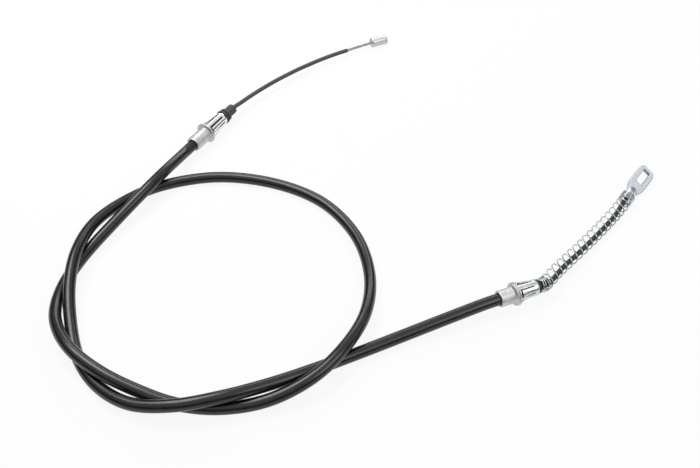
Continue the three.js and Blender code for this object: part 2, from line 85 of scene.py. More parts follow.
# The conduit's route between its straight ends, the same as in the solid model.
CONDUIT_ROUTE = [
    (-0.181, 0.031, 0.0123), (-0.195, -0.001, 0.016), (-0.223, -0.046, 0.0095), (-0.247, -0.092, 0.0052),
    (-0.255, -0.126, 0.0062), (-0.251, -0.160, 0.011), (-0.233, -0.191, 0.0155), (-0.206, -0.213, 0.0145),
    (-0.176, -0.227, 0.010), (-0.147, -0.236, 0.006), (-0.115, -0.239, 0.0051), (-0.081, -0.234, 0.0075),
    (-0.050, -0.219, 0.013), (-0.027, -0.195, 0.016), (-0.009, -0.156, 0.012), (-0.005, -0.108, 0.0065),
    (-0.017, -0.061, 0.0052), (-0.047, -0.020, 0.0051), (-0.092, 0.005, 0.005), (-0.145, 0.013, 0.0051),
    (-0.195, 0.000, 0.0053), (-0.224, -0.024, 0.0076), (-0.242, -0.056, 0.0125), (-0.248, -0.092, 0.016),
    (-0.247, -0.125, 0.0135), (-0.240, -0.159, 0.0085), (-0.228, -0.192, 0.0052), (-0.208, -0.219, 0.0057),
    (-0.180, -0.238, 0.0095), (-0.147, -0.243, 0.0145), (-0.114, -0.237, 0.016), (-0.081, -0.223, 0.0115),
    (-0.050, -0.207, 0.007), (-0.010, -0.187, 0.005),
]

# The front wire's route outside its seal, the same as in the solid model.
FRONT_WIRE_ROUTE = [
    (-0.1315, 0.1202, 0.0096), (-0.1225, 0.1322, 0.0092), (-0.1132, 0.1437, 0.0088),
    (-0.1036, 0.1547, 0.0084), (-0.0939, 0.1650, 0.0080), (-0.0840, 0.1748, 0.0076),
    (-0.0739, 0.1841, 0.0073), (-0.0636, 0.1928, 0.0069), (-0.0532, 0.2013, 0.0065),
    (-0.0426, 0.2091, 0.0061), (-0.0318, 0.2162, 0.0059), (-0.0243, 0.2208, 0.0056),
    (-0.0122, 0.2281, 0.0053),
]
BARE_STRAND = 29.2
BARREL_PLACE = Vector((0.0009, 0.2355, 0.00525))
BARREL_HEADING = 25.5

# How far the front wire's coat reaches into the seal and runs straight out of it, and how far the
# strand reaches into its coat (in steps of the path) and into the barrel.
COAT_IN_SEAL = 26
COAT_RUN_OUT = 2
STRAND_IN_COAT_STEPS = 4
STRAND_IN_BARREL = 4

# Eye end, with the sections of its shank: a station, half its width and half its height.
EYE_PLACE = Vector((0.2303, -0.0131, 0.0068))
EYE_HEADING = 53.5
EYE_ROLL = 30
SHANK_LENGTH = 8
SHANK_SECTIONS = [
    (-SHANK_LENGTH, 3.9, 3.9), (-SHANK_LENGTH + 0.4, 4.2, 4.2), (1.5, 4.2, 4.2), (4, 4.6, 3.6),
    (7, 5.2, 2.8), (10, 5.6, 1.9), (12, 5.4, 1.2),
]
SHANK_SIDES = 40
PALM_HALF_THICKNESS = 2.0
PALM_BEVEL = 0.6
EYE_VOXEL = 0.26

# Return spring, its middle line and the wire inside it.
SPRING_SEAT = 0.85
SPRING_STRAIGHT = 3
SPRING_ROUTE = [
    (0.1507, -0.1060, 0.0088), (0.1714, -0.0839, 0.0080), (0.1967, -0.0558, 0.0074),
    (0.2170, -0.0315, 0.0070),
]
SPRING_TURNS = 25
SPRING_MEAN_RADIUS = 5.9
SPRING_WIRE_RADIUS = 0.55
REAR_CLOSED_TURNS = 4
REAR_CLOSED_PITCH = 1.6
EYE_CLOSED_TURNS = 4
EYE_CLOSED_PITCH = 2.1
REAR_WIRE_ASIDE = 1
REAR_WIRE_DROP = 2
REAR_COAT_END = -SHANK_LENGTH - 0.3

UP = Vector((0, 0, 1))


def heading_vector(degrees):
    angle = math.radians(degrees)
    return Vector((math.cos(angle), math.sin(angle), 0))


def side_vector(heading):
    """The level direction square to a heading, on its right."""
    along = heading_vector(heading)
    return Vector((along.y, -along.x, 0))


def on_axis(mouth, heading, station):
    """The point on a fitting's axis, station millimetres outwards from its mouth."""
    return mouth + heading_vector(heading) * station * MM


def front(station):
    return on_axis(FRONT_MOUTH, FRONT_HEADING, station)


def rear(station):
    return on_axis(REAR_MOUTH, REAR_HEADING, station)


def eye(station):
    return on_axis(EYE_PLACE, EYE_HEADING, station)


# Curves and meshes


def smooth_path(points, step=PATH_STEP, samples=24):
    """A centripetal Catmull-Rom curve through the points, cut into even steps."""
    knots = [Vector(p) for p in points]
    knots = [knots[0] * 2 - knots[1]] + knots + [knots[-1] * 2 - knots[-2]]
    dense = []
    for p0, p1, p2, p3 in zip(knots, knots[1:], knots[2:], knots[3:]):
        d0, d1, d2 = ((b - a).length ** 0.5 for a, b in ((p0, p1), (p1, p2), (p2, p3)))
        out_of_p1 = ((p1 - p0) / d0 - (p2 - p0) / (d0 + d1) + (p2 - p1) / d1) * d1
        into_p2 = ((p2 - p1) / d1 - (p3 - p1) / (d1 + d2) + (p3 - p2) / d2) * d1
        for i in range(samples):
            t = i / samples
            dense.append(
                p1 * (2 * t**3 - 3 * t**2 + 1)
                + out_of_p1 * (t**3 - 2 * t**2 + t)
                + p2 * (3 * t**2 - 2 * t**3)
                + into_p2 * (t**3 - t**2)
            )
    dense.append(knots[-2])
    return even_steps(np.array(dense), step)


def reach_along(path):
    """The distance from a path's start to each of its points."""
    return np.r_[0, np.cumsum(np.linalg.norm(np.diff(path, axis=0), axis=1))]


def even_steps(points, step):
    """The same line with points an even step apart."""
    reach = reach_along(points)
    count = max(2, round(reach[-1] / step) + 1)
    places = np.linspace(0, reach[-1], count)
    return np.stack([np.interp(places, reach, points[:, k]) for k in range(3)], axis=1)


def path_length(path):
    return float(np.sum(np.linalg.norm(np.diff(path, axis=0), axis=1)))


def tangents_along(path):
    tangents = np.gradient(path, axis=0)
    return tangents / np.linalg.norm(tangents, axis=1)[:, None]


def frames_along(path):
    """Side and up at each point, turned as little as possible from one to the next."""
    up = np.array([0, 0, 1.0])
    sides, ups = [], []
    for tangent in tangents_along(path):
        side = np.cross(tangent, up)
        side /= np.linalg.norm(side)
        up = np.cross(side, tangent)
        sides.append(side)
        ups.append(up)
    return np.array(sides), np.array(ups)


def show(obj):
    bpy.context.scene.collection.objects.link(obj)
    return obj


def smooth(mesh, angle):
    """Shade a mesh smoothly, but keep edges sharper than the angle, in degrees."""
    mesh.shade_smooth()
    mesh.set_sharp_from_angle(angle=math.radians(angle))


def new_object(name, vertices, faces, smooth_angle=40):
    """A mesh object with its faces turned outwards and its hard edges kept."""
    mesh = bpy.data.meshes.new(name)
    mesh.from_pydata([tuple(v) for v in vertices], [], faces)
    work = bmesh.new()
    work.from_mesh(mesh)
    bmesh.ops.remove_doubles(work, verts=work.verts, dist=1e-7)
    bmesh.ops.recalc_face_normals(work, faces=work.faces)
    work.to_mesh(mesh)
    work.free()
    smooth(mesh, smooth_angle)
    return show(bpy.data.objects.new(name, mesh))


def ring_points(path, offsets):
    """Rings round a path. offsets holds (side, up) pairs, one list for all rings or one for each."""
    sides, ups = frames_along(path)
    rings = []
    for i, place in enumerate(path):
        here = offsets[i] if isinstance(offsets[0][0], (list, tuple)) else offsets
        rings.append([place + sides[i] * a + ups[i] * b for a, b in here])
    return rings


def skin(rings, closed=False):
    """Vertices and faces of a tube through rings of one size, with end caps unless it is closed."""
    size = len(rings[0])
    vertices = [v for ring in rings for v in ring]
    faces = []
    count = len(rings)
    for i in range(count if closed else count - 1):
        a, b = i * size, ((i + 1) % count) * size
        for k in range(size):
            n = (k + 1) % size
            faces.append((a + k, a + n, b + n, b + k))
    if not closed:
        faces.append(tuple(range(size)))
        faces.append(tuple(range((count - 1) * size, count * size)))
    return vertices, faces


def circle(radius, sides):
    """Points of a circle in metres, from a radius in millimetres."""
    turn = 2 * math.pi / sides
    return [
        (radius * MM * math.cos(turn * k), radius * MM * math.sin(turn * k))
        for k in range(sides)
    ]


def tube(name, path, radius, bore, sides):
    """A round tube along a path, bored right through."""
    outer = ring_points(path, circle(radius, sides))
    inner = ring_points(path, circle(bore, sides))
    loops = outer + inner[::-1]
    return new_object(name, *skin(loops, closed=True))


def rounded(profile, radius, steps=3):
    """A closed outline with each corner turned into a small arc, but none on the axis."""
    # Each arc takes less than half of an edge, so two arcs never meet.
    arcs_an_edge = 2.2
    points = [np.array(p, float) for p in profile]
    outline = []
    for before, here, after in zip(points[-1:] + points[:-1], points, points[1:] + points[:1]):
        if here[0] == 0:
            outline.append(here)
            continue
        back, ahead = before - here, after - here
        back_length = np.linalg.norm(back)
        ahead_length = np.linalg.norm(ahead)
        cut = min(radius, back_length / arcs_an_edge, ahead_length / arcs_an_edge)
        start = here + back / back_length * cut
        end = here + ahead / ahead_length * cut
        for i in range(steps + 1):
            t = i / steps
            outline.append(start * (1 - t) ** 2 + here * 2 * t * (1 - t) + end * t**2)
    return outline


def turned(name, profile, mouth, heading, segments=96, corner=0.3, shape=None):
    """A turned piece: a closed outline of (radius, station) pairs, spun about a fitting's axis."""
    outline = rounded(profile, corner)
    along = heading_vector(heading)
    side = side_vector(heading)
    rings = []
    for k in range(segments):
        angle = 2 * math.pi * k / segments
        out = side * math.cos(angle) + UP * math.sin(angle)
        ring = []
        for radius, station in outline:
            grown = radius + (shape(radius, station, angle) if shape else 0)
            ring.append(mouth + along * station * MM + out * grown * MM)
        rings.append(ring)
    return new_object(name, *skin(rings, closed=True), smooth_angle=50)


# Materials

# Noise mostly stays between these two.
NOISE_LOW = 0.3
NOISE_HIGH = 0.7


def principled(name):
    """A new material, its shader and its node tree."""
    material = bpy.data.materials.new(name)
    material.use_nodes = True
    return material, material.node_tree.nodes["Principled BSDF"], material.node_tree


def noise(tree, size_mm, detail=3.0):
    """Noise in the object's own space, with features of about size_mm."""
    place = tree.nodes.new("ShaderNodeTexCoord")
    texture = tree.nodes.new("ShaderNodeTexNoise")
    texture.inputs["Scale"].default_value = 1 / (size_mm * MM)
    texture.inputs["Detail"].default_value = detail
    texture.inputs["Roughness"].default_value = 0.55
    tree.links.new(place.outputs["Object"], texture.inputs["Vector"])
    return texture.outputs["Fac"]


def ramp(tree, source, stops):
    """A colour ramp. stops holds (position, colour) pairs."""
    node = tree.nodes.new("ShaderNodeValToRGB")
    while len(node.color_ramp.elements) < len(stops):
        node.color_ramp.elements.new(0.5)
    for element, (position, colour) in zip(node.color_ramp.elements, stops):
        element.position = position
        element.color = (*colour, 1)
    tree.links.new(source, node.inputs["Fac"])
    return node.outputs["Color"]


def spread(tree, source, low, high):
    """Noise turned into a value between low and high."""
    node = tree.nodes.new("ShaderNodeMapRange")
    node.inputs["From Min"].default_value = NOISE_LOW
    node.inputs["From Max"].default_value = NOISE_HIGH
    node.inputs["To Min"].default_value = low
    node.inputs["To Max"].default_value = high
    tree.links.new(source, node.inputs["Value"])
    return node.outputs["Result"]


def bump(tree, shader, source, height_mm):
    """A fine relief on a shader, as high as height_mm."""
    node = tree.nodes.new("ShaderNodeBump")
    node.inputs["Distance"].default_value = height_mm * MM
    node.inputs["Strength"].default_value = 1
    tree.links.new(source, node.inputs["Height"])
    tree.links.new(node.outputs["Normal"], shader.inputs["Normal"])


def surface(name, dark, light, metallic, rough, patch_mm, grain_mm, grain_height_mm):
    """A material whose colour and roughness drift over patch_mm, with a fine grain of its own."""
    material, shader, tree = principled(name)
    patches = noise(tree, patch_mm)
    shader.inputs["Metallic"].default_value = metallic
    tree.links.new(ramp(tree, patches, [(0.35, dark), (0.65, light)]), shader.inputs["Base Color"])
    tree.links.new(spread(tree, patches, *rough), shader.inputs["Roughness"])
    bump(tree, shader, noise(tree, grain_mm), grain_height_mm)
    return material


conduit_plastic = surface(
    "conduit_plastic", (0.006, 0.006, 0.007), (0.010, 0.010, 0.011), 0, (0.2, 0.28), 9, 0.9, 0.006
)
coat_plastic = surface(
    "coat_plastic", (0.05, 0.05, 0.052), (0.075, 0.075, 0.078), 0, (0.5, 0.62), 4, 0.25, 0.01
)
dark_coat = surface(
    "dark_coat", (0.012, 0.016, 0.017), (0.028, 0.033, 0.034), 0, (0.5, 0.65), 3, 0.25, 0.01
)
seal_rubber = surface(
    "seal_rubber", (0.045, 0.045, 0.045), (0.075, 0.075, 0.075), 0, (0.62, 0.8), 2.5, 0.3, 0.02
)
black_rubber = surface(
    "black_rubber", (0.008, 0.009, 0.01), (0.018, 0.019, 0.02), 0, (0.45, 0.6), 2, 0.3, 0.015
)
cast_zinc = surface(
    "cast_zinc", (0.5, 0.505, 0.495), (0.64, 0.645, 0.63), 1, (0.46, 0.58), 3.5, 0.5, 0.03
)
bright_clip = surface(
    "bright_clip", (0.82, 0.83, 0.84), (0.92, 0.93, 0.94), 1, (0.05, 0.12), 4, 0.6, 0.004
)
satin_clip = surface(
    "satin_clip", (0.52, 0.57, 0.55), (0.74, 0.78, 0.76), 1, (0.2, 0.34), 3, 0.5, 0.012
)
spring_steel = surface(
    "spring_steel", (0.40, 0.43, 0.44), (0.60, 0.64, 0.65), 1, (0.12, 0.22), 5, 0.3, 0.006
)
galvanised = surface(
    "galvanised", (0.26, 0.26, 0.265), (0.5, 0.5, 0.5), 1, (0.3, 0.42), 1.5, 0.15, 0.008
)
bright_zinc = surface(
    "bright_zinc", (0.5, 0.51, 0.51), (0.68, 0.69, 0.69), 1, (0.36, 0.5), 3, 0.5, 0.012
)
# Near-black metal for the thin sleeves under the clips: painted shade, not a finish of the zinc.
painted_shade_zinc = surface(
    "painted_shade_zinc", (0.015, 0.016, 0.017), (0.04, 0.042, 0.044), 1, (0.4, 0.6), 2, 0.4, 0.02
)
armour_steel = surface(
    "armour_steel", (0.3, 0.31, 0.32), (0.45, 0.46, 0.47), 1, (0.35, 0.5), 4, 0.4, 0.01
)
liner_plastic = surface(
    "liner_plastic", (0.6, 0.6, 0.56), (0.72, 0.72, 0.68), 0, (0.4, 0.5), 5, 0.4, 0.004
)
# Darker blue-grey for the eye window's walls: painted shade, where the walls shade each other. Their
# higher roughness is the sheared metal's own.
painted_shade_wall = surface(
    "painted_shade_wall", (0.2, 0.22, 0.3), (0.36, 0.37, 0.5), 1, (0.4, 0.55), 2, 0.3, 0.02
)


def blue_zinc():
    """Blue passivated zinc: a pale blue that drifts into lilac and into a warmer grey."""
    material, shader, tree = principled("blue_zinc")
    stops = [
        (0.3, (0.60, 0.65, 0.63)), (0.46, (0.64, 0.71, 0.74)),
        (0.58, (0.67, 0.68, 0.78)), (0.72, (0.62, 0.70, 0.69)),
    ]
    colour = ramp(tree, noise(tree, 14, detail=1.5), stops)
    tree.links.new(colour, shader.inputs["Base Color"])
    shader.inputs["Metallic"].default_value = 1
    tree.links.new(spread(tree, noise(tree, 2.5), 0.28, 0.42), shader.inputs["Roughness"])
    bump(tree, shader, noise(tree, 0.7), 0.02)
    return material


eye_zinc = blue_zinc()


def dress(obj, material, body, slot, *nodes):
    """Give a piece its material, its body and the CAD nodes that it stands for. The slot is not used."""
    obj.data.materials.clear()
    obj.data.materials.append(material)
    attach(obj, body)
    if nodes:
        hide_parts(*nodes)
    return obj


def paint_node(name, material):
    """Give a CAD node that no piece stands for a better material."""
    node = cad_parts[name]
    for slot in node.material_slots:
        slot.material = material


# Camera


def add_camera():
    data = bpy.data.cameras.new("camera")
    data.sensor_width = SENSOR
    data.lens = FOCAL_PIXELS / PICTURE_WIDTH * SENSOR
    data.clip_start = 0.01
    camera = bpy.data.objects.new("camera", data)
    back = Vector((0, -math.cos(CAMERA_ELEVATION), math.sin(CAMERA_ELEVATION)))
    camera.location = CAMERA_AIM + back * CAMERA_DISTANCE
    camera.rotation_euler = (math.pi / 2 - CAMERA_ELEVATION, 0, 0)
    bpy.context.scene.camera = show(camera)


add_camera()


# Cords: the conduit and the front wire


def add_conduit():
    path = smooth_path(
        [front(CONDUIT_INSERT), front(0), front(-STRAIGHT_RUN)]
        + CONDUIT_ROUTE
        + [rear(-STRAIGHT_RUN), rear(0), rear(CONDUIT_INSERT)],
        step=CONDUIT_STEP,
    )
    conduit = tube("conduit", path, JACKET_RADIUS, JACKET_BORE, sides=32)
    dress(conduit, conduit_plastic, "conduit", "conduit_plastic", "conduit_jacket")


def rope_offsets(path, centre_radius, strand_radius, start, sides=18):
    """Rings of one twisted strand in a rope: a lobed section carried round the rope's middle."""
    # The strand goes round once in lay millimetres, and its own wires show as lobes.
    lay = 24
    lobes = 6
    lobe_height = 0.09
    lobe_twist = 2.4
    reach = reach_along(path) / MM
    rings = []
    for s in reach:
        turn = start + 2 * math.pi * s / lay
        middle = (centre_radius * math.cos(turn), centre_radius * math.sin(turn))
        ring = []
        for k in range(sides):
            angle = 2 * math.pi * k / sides
            bulge = 1 + lobe_height * math.cos(lobes * (angle - turn * lobe_twist))
            across = middle[0] + strand_radius * bulge * math.cos(angle)
            high = middle[1] + strand_radius * bulge * math.sin(angle)
            ring.append((across * MM, high * MM))
        rings.append(ring)
    return rings


def rope(name, path, radius=STRAND_RADIUS, outer=6):
    """A steel rope: strands twisted round a core, each a little fuller than a third of the rope."""
    fullness = 1.04
    strand = radius / 3 * fullness
    vertices, faces = [], []
    for k in range(outer):
        offsets = rope_offsets(path, 2 * radius / 3, strand, 2 * math.pi * k / outer)
        more, more_faces = skin(ring_points(path, offsets))
        faces += [tuple(i + len(vertices) for i in face) for face in more_faces]
        vertices += more
    core, core_faces = skin(ring_points(path, circle(strand, 12)))
    faces += [tuple(i + len(vertices) for i in face) for face in core_faces]
    vertices += core
    return new_object(name, vertices, faces, smooth_angle=80)


def add_front_wire():
    out_of_seal = [front(FRONT_SEAL_MOUTH - COAT_IN_SEAL), front(FRONT_SEAL_MOUTH + COAT_RUN_OUT)]
    whole = smooth_path(out_of_seal + FRONT_WIRE_ROUTE + [BARREL_PLACE])
    coat_points = len(whole) - round(BARE_STRAND * MM / PATH_STEP)
    coat_path = whole[:coat_points]
    in_barrel = on_axis(BARREL_PLACE, BARREL_HEADING, STRAND_IN_BARREL)
    strand_path = np.vstack([whole[coat_points - STRAND_IN_COAT_STEPS :], in_barrel])
    strand_path = even_steps(strand_path, FINE_STEP)
    coat = tube("front_wire_coat_skin", coat_path, COAT_RADIUS, COAT_BORE, sides=20)
    dress(coat, coat_plastic, "front_wire", "coat_plastic", "front_wire_coat")
    strand = rope("front_strand", strand_path)
    dress(strand, galvanised, "front_wire", "strand_steel", "front_wire_strand")
    barrel = add_barrel()


def add_barrel():
    barrel = turned(
        "barrel",
        [
            (1.5, -0.3), (2.1, 0), (3.3, 1.3), (4.6, 1.5), (5.2, 2.4), (5.2, 16.5), (5.0, 16.8),
            (4.9, 17.1), (5.0, 17.5), (5.2, 17.8), (5.2, 19.2), (4.6, 19.8), (3.0, 19.8), (2.6, 19.2),
            (0, 19.2), (0, 4), (1.5, 3),
        ],
        BARREL_PLACE,
        BARREL_HEADING,
        corner=0.35,
    )
    return dress(barrel, bright_zinc, "front_wire", "end_zinc", "barrel_end")


add_conduit()
add_front_wire()


# Fittings


def add_ferrules():
    front_profile = [
        (5.3, 0), (6.6, 0), (7.0, 0.5), (7.0, 18.9), (7.6, 19.7), (9.4, 20.0), (10.1, 20.6),
        (10.1, 21.6), (9.5, 22.3), (8.6, 22.5), (8.5, 21.9), (FRONT_SPIGOT_RADIUS, 21.9),
        (FRONT_SPIGOT_RADIUS, 46.8), (5.9, 46.8), (5.9, 47.8), (3.7, 47.8), (3.7, 41.8), (2.4, 41.8),
        (2.4, 13.3), (5.3, 13.3),
    ]
    rear_profile = [
        (5.3, 0), (6.5, 0), (6.9, 0.5), (6.8, 6), (7.0, 12.0), (8.6, 12.8), (9.5, 13.2), (9.6, 14.0),
        (9.0, 14.4), (9.0, 14.7), (9.7, 15.1), (9.8, 15.8), (9.4, 16.3), (9.0, 16.3), (9.0, 15.7),
        (REAR_SPIGOT_RADIUS, 15.7), (REAR_SPIGOT_RADIUS, 33.3), (6.5, 33.3), (6.5, 34.3), (3.7, 34.3),
        (3.7, 28.3), (2.4, 28.3), (2.4, 13.3), (5.3, 13.3),
    ]
    for name, profile, mouth, heading, node in (
        ("front_ferrule_casting", front_profile, FRONT_MOUTH, FRONT_HEADING, "front_ferrule"),
        ("rear_ferrule_casting", rear_profile, REAR_MOUTH, REAR_HEADING, "rear_ferrule"),
    ):
        piece = turned(name, profile, mouth, heading, shape=cast_unevenness)
        dress(piece, cast_zinc, "conduit", "ferrule_zinc", node)


def cast_unevenness(radius, station, angle):
    """Small waves on the outside of a casting's collar and flange."""
    collar_radius = 6
    flange_end = 21
    if radius < collar_radius or station > flange_end:
        return 0
    return 0.05 * math.sin(3 * angle + station * 0.6) + 0.03 * math.sin(7 * angle - station * 1.1)


def prong_clip(name, mouth, heading, start, end, radii, turn, width, slot, lift):
    """A tapered spring steel sleeve with four tongues.

    Each tongue is width wide, cut free by a slot on three sides, and bent outwards by lift at its
    tip, which points at the flange. The first is turn degrees round from the side.
    """
    count = 4
    sheet = 0.75
    edge_bevel = 0.12
    # The whole rings of sheet at both ends, and what more is left whole behind a tongue's root.
    band = 2.2
    behind_root = 1
    # Above 1, a tongue bends most towards its tip.
    bend = 1.4
    rounding = 1e-6
    tongue_cells = 6
    wall_cells = 8
    steps = 14
    start_radius, end_radius = radii
    tip = start + band
    root = end - band - behind_root
    along = heading_vector(heading)
    side = side_vector(heading)

    def radius_at(s):
        return start_radius + (end_radius - start_radius) * (s - start) / (end - start)

    middle_radius = (start_radius + end_radius) / 2
    half = width / 2 / middle_radius
    edge = half + slot / middle_radius
    period = 2 * math.pi / count
    columns = []
    for k in range(count):
        middle = math.radians(turn) + period * k
        cells = [(-half + 2 * half * i / tongue_cells, "tongue") for i in range(tongue_cells)]
        cells += [(half, "slot")]
        cells += [(edge + (period - 2 * edge) * i / wall_cells, "wall") for i in range(wall_cells)]
        cells += [(period - edge, "slot")]
        columns += [(middle + a, kind) for a, kind in cells]
    stations = [start, start + band / 2, tip - slot]
    kinds = ["band", "band", "gap"]
    stations += [tip + (root - tip) * i / steps for i in range(steps)]
    kinds += ["cut"] * steps
    stations += [root, root + (end - root) / 2, end]
    kinds += ["band", "band"]

    vertices = []
    for s in stations:
        share = max(0.0, min(1.0, (root - s) / (root - tip)))
        for i, (angle, kind) in enumerate(columns):
            raised = 0.0
            in_tongue = kind == "tongue" or columns[i - 1][1] == "tongue"
            if in_tongue and tip - rounding <= s < root:
                raised = lift * share**bend
            radius = radius_at(s) + raised
            out = side * math.cos(angle) + UP * math.sin(angle)
            vertices.append(mouth + along * s * MM + out * radius * MM)
    faces = []
    size = len(columns)
    for row, row_kind in enumerate(kinds):
        for i, (_, kind) in enumerate(columns):
            if row_kind == "cut" and kind == "slot":
                continue
            if row_kind == "gap" and kind in ("slot", "tongue"):
                continue
            a = row * size + i
            b = row * size + (i + 1) % size
            faces.append((a, b, b + size, a + size))
    obj = new_object(name, vertices, faces)
    add_modifier(obj, "SOLIDIFY", thickness=sheet * MM, offset=-1)
    limit = {"limit_method": "ANGLE", "angle_limit": math.radians(50)}
    add_modifier(obj, "BEVEL", width=edge_bevel * MM, segments=2, **limit)
    apply_modifiers(obj)
    smooth(obj.data, 40)
    return obj


def add_modifier(obj, kind, **settings):
    modifier = obj.modifiers.new(kind.lower(), kind)
    for key, value in settings.items():
        setattr(modifier, key, value)


def apply_modifiers(obj):
    """Give the object the mesh that its modifiers leave."""
    graph = bpy.context.evaluated_depsgraph_get()
    mesh = bpy.data.meshes.new_from_object(obj.evaluated_get(graph))
    obj.modifiers.clear()
    old = obj.data
    obj.data = mesh
    bpy.data.meshes.remove(old)


def add_clips():
    """The clips, each over a thin near-black sleeve on the spigot: painted shade, which stands in for the
    shade under the clip's slots.
    """
    for name, mouth, heading, radius, start, end in (
        ("front_spigot_painted_shade", FRONT_MOUTH, FRONT_HEADING, FRONT_SPIGOT_RADIUS, 22.0, 46.7),
        ("rear_spigot_painted_shade", REAR_MOUTH, REAR_HEADING, REAR_SPIGOT_RADIUS, 15.8, 33.2),
    ):
        inner, outer = radius - 0.1, radius + 0.08
        outline = [(inner, start), (outer, start), (outer, end), (inner, end)]
        # A thin near-black sleeve over the spigot: painted shade under the clip's slots.
        shade_sleeve = turned(name, outline, mouth, heading, corner=0.02)
        dress(shade_sleeve, painted_shade_zinc, "conduit", "ferrule_zinc")
    clip = prong_clip(
        "front_clip", FRONT_MOUTH, FRONT_HEADING, start=22.3, end=46.9, radii=(7.2, 6.8),
        turn=33, width=4.2, slot=1.7, lift=1.3,
    )
    dress(clip, bright_clip, "conduit", "clip_bright", "front_prong_clip")
    clip = prong_clip(
        "rear_clip", REAR_MOUTH, REAR_HEADING, start=16.1, end=33.6, radii=(7.8, 6.7),
        turn=40, width=5.2, slot=1.0, lift=1.1,
    )
    dress(clip, satin_clip, "conduit", "clip_steel", "rear_prong_clip")


def add_seals():
    front_profile = [
        (2.4, 42.1), (3.4, 42.1), (3.4, 48.1), (7.0, 48.1), (7.2, 48.5), (7.2, 50.2), (6.9, 50.5),
        (5.1, 50.6), (5.1, 52.0), (6.3, 52.1), (6.5, 52.5), (6.5, 54.8), (6.2, 55.1), (5.1, 55.3),
        (4.9, 55.7), (5.0, 65.5), (4.5, 66.0), (3.4, FRONT_SEAL_MOUTH), (2.4, FRONT_SEAL_MOUTH),
    ]
    seal = turned("front_seal_rubber", front_profile, FRONT_MOUTH, FRONT_HEADING, corner=0.25)
    dress(seal, seal_rubber, "conduit", "seal_rubber", "front_seal")
    rear_profile = [
        (2.4, 28.6), (3.4, 28.6), (3.4, 34.6), (5.8, 34.6), (6.0, 35.0), (6.0, 36.4), (5.5, 37.1),
        (3.7, 37.2), (3.3, 45.5), (3.0, REAR_SEAL_MOUTH), (2.4, REAR_SEAL_MOUTH),
    ]
    seal = turned("rear_seal_rubber", rear_profile, REAR_MOUTH, REAR_HEADING, corner=0.4)
    dress(seal, black_rubber, "conduit", "seal_rubber", "rear_seal")


add_ferrules()
add_clips()
add_seals()


# Return spring and the wire inside it


def spring_axis():
    """The spring's middle line, from the rear seal's head to the eye."""
    start = REAR_HEAD_END + SPRING_SEAT
    return smooth_path(
        [rear(start), rear(start + SPRING_STRAIGHT)]
        + SPRING_ROUTE
        + [eye(-SPRING_SEAT - SPRING_STRAIGHT), eye(-SPRING_SEAT)],
        step=FINE_STEP,
    )


def follow(path, distance):
    """The place, side and up directions at a distance along a path, in metres."""
    tangents = tangents_along(path)
    reach = reach_along(path)
    place = np.stack([np.interp(distance, reach, path[:, k]) for k in range(3)], axis=-1)
    tangent = np.stack([np.interp(distance, reach, tangents[:, k]) for k in range(3)], axis=-1)
    side = np.cross(tangent, [0, 0, 1.0])
    side /= np.linalg.norm(side, axis=-1)[..., None]
    return place, side, np.cross(side, tangent)


def spring_path(axis, steps_a_turn=36):
    """The spring wire's centreline: closed turns at both ends, open turns between."""
    length = path_length(axis)
    rear_end = REAR_CLOSED_TURNS * REAR_CLOSED_PITCH * MM
    eye_end = EYE_CLOSED_TURNS * EYE_CLOSED_PITCH * MM
    turns = [0, REAR_CLOSED_TURNS, SPRING_TURNS - EYE_CLOSED_TURNS, SPRING_TURNS]
    reach = [0, rear_end, length - eye_end, length]
    turn = np.linspace(0, SPRING_TURNS, SPRING_TURNS * steps_a_turn + 1)
    distance = np.interp(turn, turns, reach)
    place, side, up = follow(axis, distance)
    angle = 2 * math.pi * turn
    radius = SPRING_MEAN_RADIUS * MM
    across = side * (radius * np.cos(angle))[:, None]
    high = up * (radius * np.sin(angle))[:, None]
    return place + across + high


def spring_wire(name, path, radius, sides=10):
    """A round wire along a coiled path, whose sections stay square to it."""
    tangents = tangents_along(path)
    off_the_wire = [0.3, 0.2, 1.0]
    normal = np.cross(tangents[0], off_the_wire)
    rings = []
    for place, tangent in zip(path, tangents):
        normal = normal - tangent * np.dot(normal, tangent)
        normal /= np.linalg.norm(normal)
        other = np.cross(tangent, normal)
        rings.append([place + normal * a + other * b for a, b in circle(radius, sides)])
    return new_object(name, *skin(rings), smooth_angle=60)


def shorten(obj):
    """Give the piece a mesh of its own."""
    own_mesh(obj)


def add_spring_and_wire():
    axis = spring_axis()
    spring = spring_wire("spring", spring_path(axis), SPRING_WIRE_RADIUS)
    dress(spring, spring_steel, "conduit", "spring_steel", "return_spring")
    shorten(spring)

    def aside(share, amount=1):
        """The wire's place at a share of the spring's length, low in the spring and to its side."""
        place, side, _ = follow(axis, share * path_length(axis))
        shift = Vector(side) * REAR_WIRE_ASIDE * amount * MM
        return Vector(place) + shift - Vector((0, 0, REAR_WIRE_DROP * amount * MM))

    path = smooth_path(
        [
            rear(REAR_HEAD_END),
            rear(REAR_SEAL_MOUTH - 4),
            rear(REAR_SEAL_MOUTH + 1),
            aside(0.22),
            aside(0.4),
            aside(0.6),
            aside(0.8, amount=0.8),
            eye(-SHANK_LENGTH - 3),
            eye(REAR_COAT_END),
        ]
    )
    coat = tube("rear_wire_skin", path, COAT_RADIUS, COAT_BORE, sides=20)
    dress(coat, dark_coat, "conduit", "coat_plastic", "rear_wire_coat")
    shorten(coat)
    into_shank = np.array([eye(-SHANK_LENGTH - 2), eye(-SHANK_LENGTH + 4)])
    strand = rope("rear_strand", even_steps(into_shank, FINE_STEP))
    dress(strand, galvanised, "conduit", "strand_steel", "rear_wire_strand")
    shorten(strand)


add_spring_and_wire()


# Eye end


